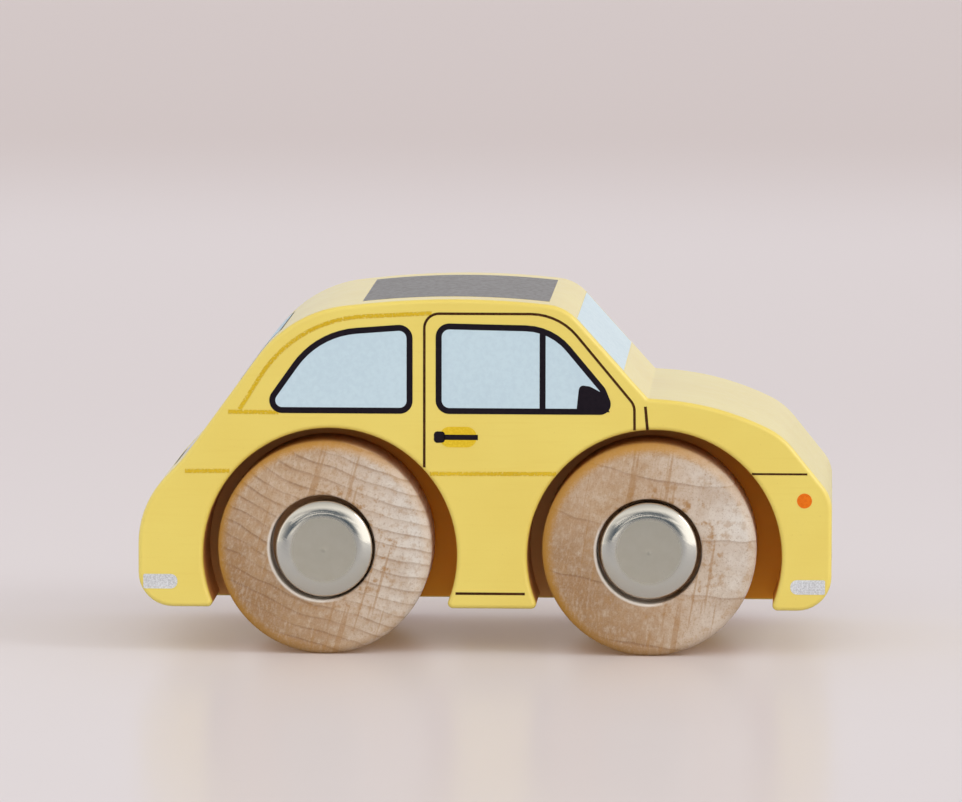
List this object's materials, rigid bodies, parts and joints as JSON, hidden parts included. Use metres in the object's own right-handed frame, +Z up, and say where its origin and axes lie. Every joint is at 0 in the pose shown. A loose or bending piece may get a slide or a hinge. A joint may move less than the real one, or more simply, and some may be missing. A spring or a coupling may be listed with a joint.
{
  "type": "toy car",
  "caption": "Wooden push-along toy car: a painted block body with printed windows on turned wooden wheels that spin on steel axles, held by domed caps.",
  "frame": {"origin": "on the floor under the middle of the car, where the wheels stand", "axes": "+X to the nose of the car, +Y to its left side, +Z up"},
  "size_m": [0.081, 0.0394, 0.0417],
  "materials": {
    "yellow_paint": "satin yellow paint over wood",
    "beech": "bare turned beech, end grain showing",
    "plated_cap": "bright plated steel",
    "axle_steel": "drawn steel rod",
    "spring_steel": "plain spring steel"
  },
  "bodies": {
    "body": {"body": "yellow_paint"},
    "front_axle_set": {"front_axle": "axle_steel", "front_left_cap": "plated_cap", "front_right_cap": "plated_cap", "front_left_push_nut": "spring_steel", "front_right_push_nut": "spring_steel"},
    "rear_axle_set": {"rear_axle": "axle_steel", "rear_left_cap": "plated_cap", "rear_right_cap": "plated_cap", "rear_left_push_nut": "spring_steel", "rear_right_push_nut": "spring_steel"},
    "front_left_wheel": {"front_left_wheel": "beech"},
    "front_right_wheel": {"front_right_wheel": "beech"},
    "rear_left_wheel": {"rear_left_wheel": "beech"},
    "rear_right_wheel": {"rear_right_wheel": "beech"}
  },
  "joints": [
    {"name": "front_axle_spin", "type": "hinge", "parent": "body", "child": "front_axle_set", "pos_m": [0.01925, 0, 0.0125], "axis": [0, 1, 0], "continuous": true},
    {"name": "rear_axle_spin", "type": "hinge", "parent": "body", "child": "rear_axle_set", "pos_m": [-0.01865, 0, 0.0125], "axis": [0, 1, 0], "continuous": true},
    {"name": "front_left_wheel_spin", "type": "hinge", "parent": "front_axle_set", "child": "front_left_wheel", "pos_m": [0.01925, 0.0136, 0.0125], "axis": [0, 1, 0], "continuous": true},
    {"name": "front_right_wheel_spin", "type": "hinge", "parent": "front_axle_set", "child": "front_right_wheel", "pos_m": [0.01925, -0.0136, 0.0125], "axis": [0, 1, 0], "continuous": true},
    {"name": "rear_left_wheel_spin", "type": "hinge", "parent": "rear_axle_set", "child": "rear_left_wheel", "pos_m": [-0.01865, 0.0136, 0.0125], "axis": [0, 1, 0], "continuous": true},
    {"name": "rear_right_wheel_spin", "type": "hinge", "parent": "rear_axle_set", "child": "rear_right_wheel", "pos_m": [-0.01865, -0.0136, 0.0125], "axis": [0, 1, 0], "continuous": true}
  ]
}
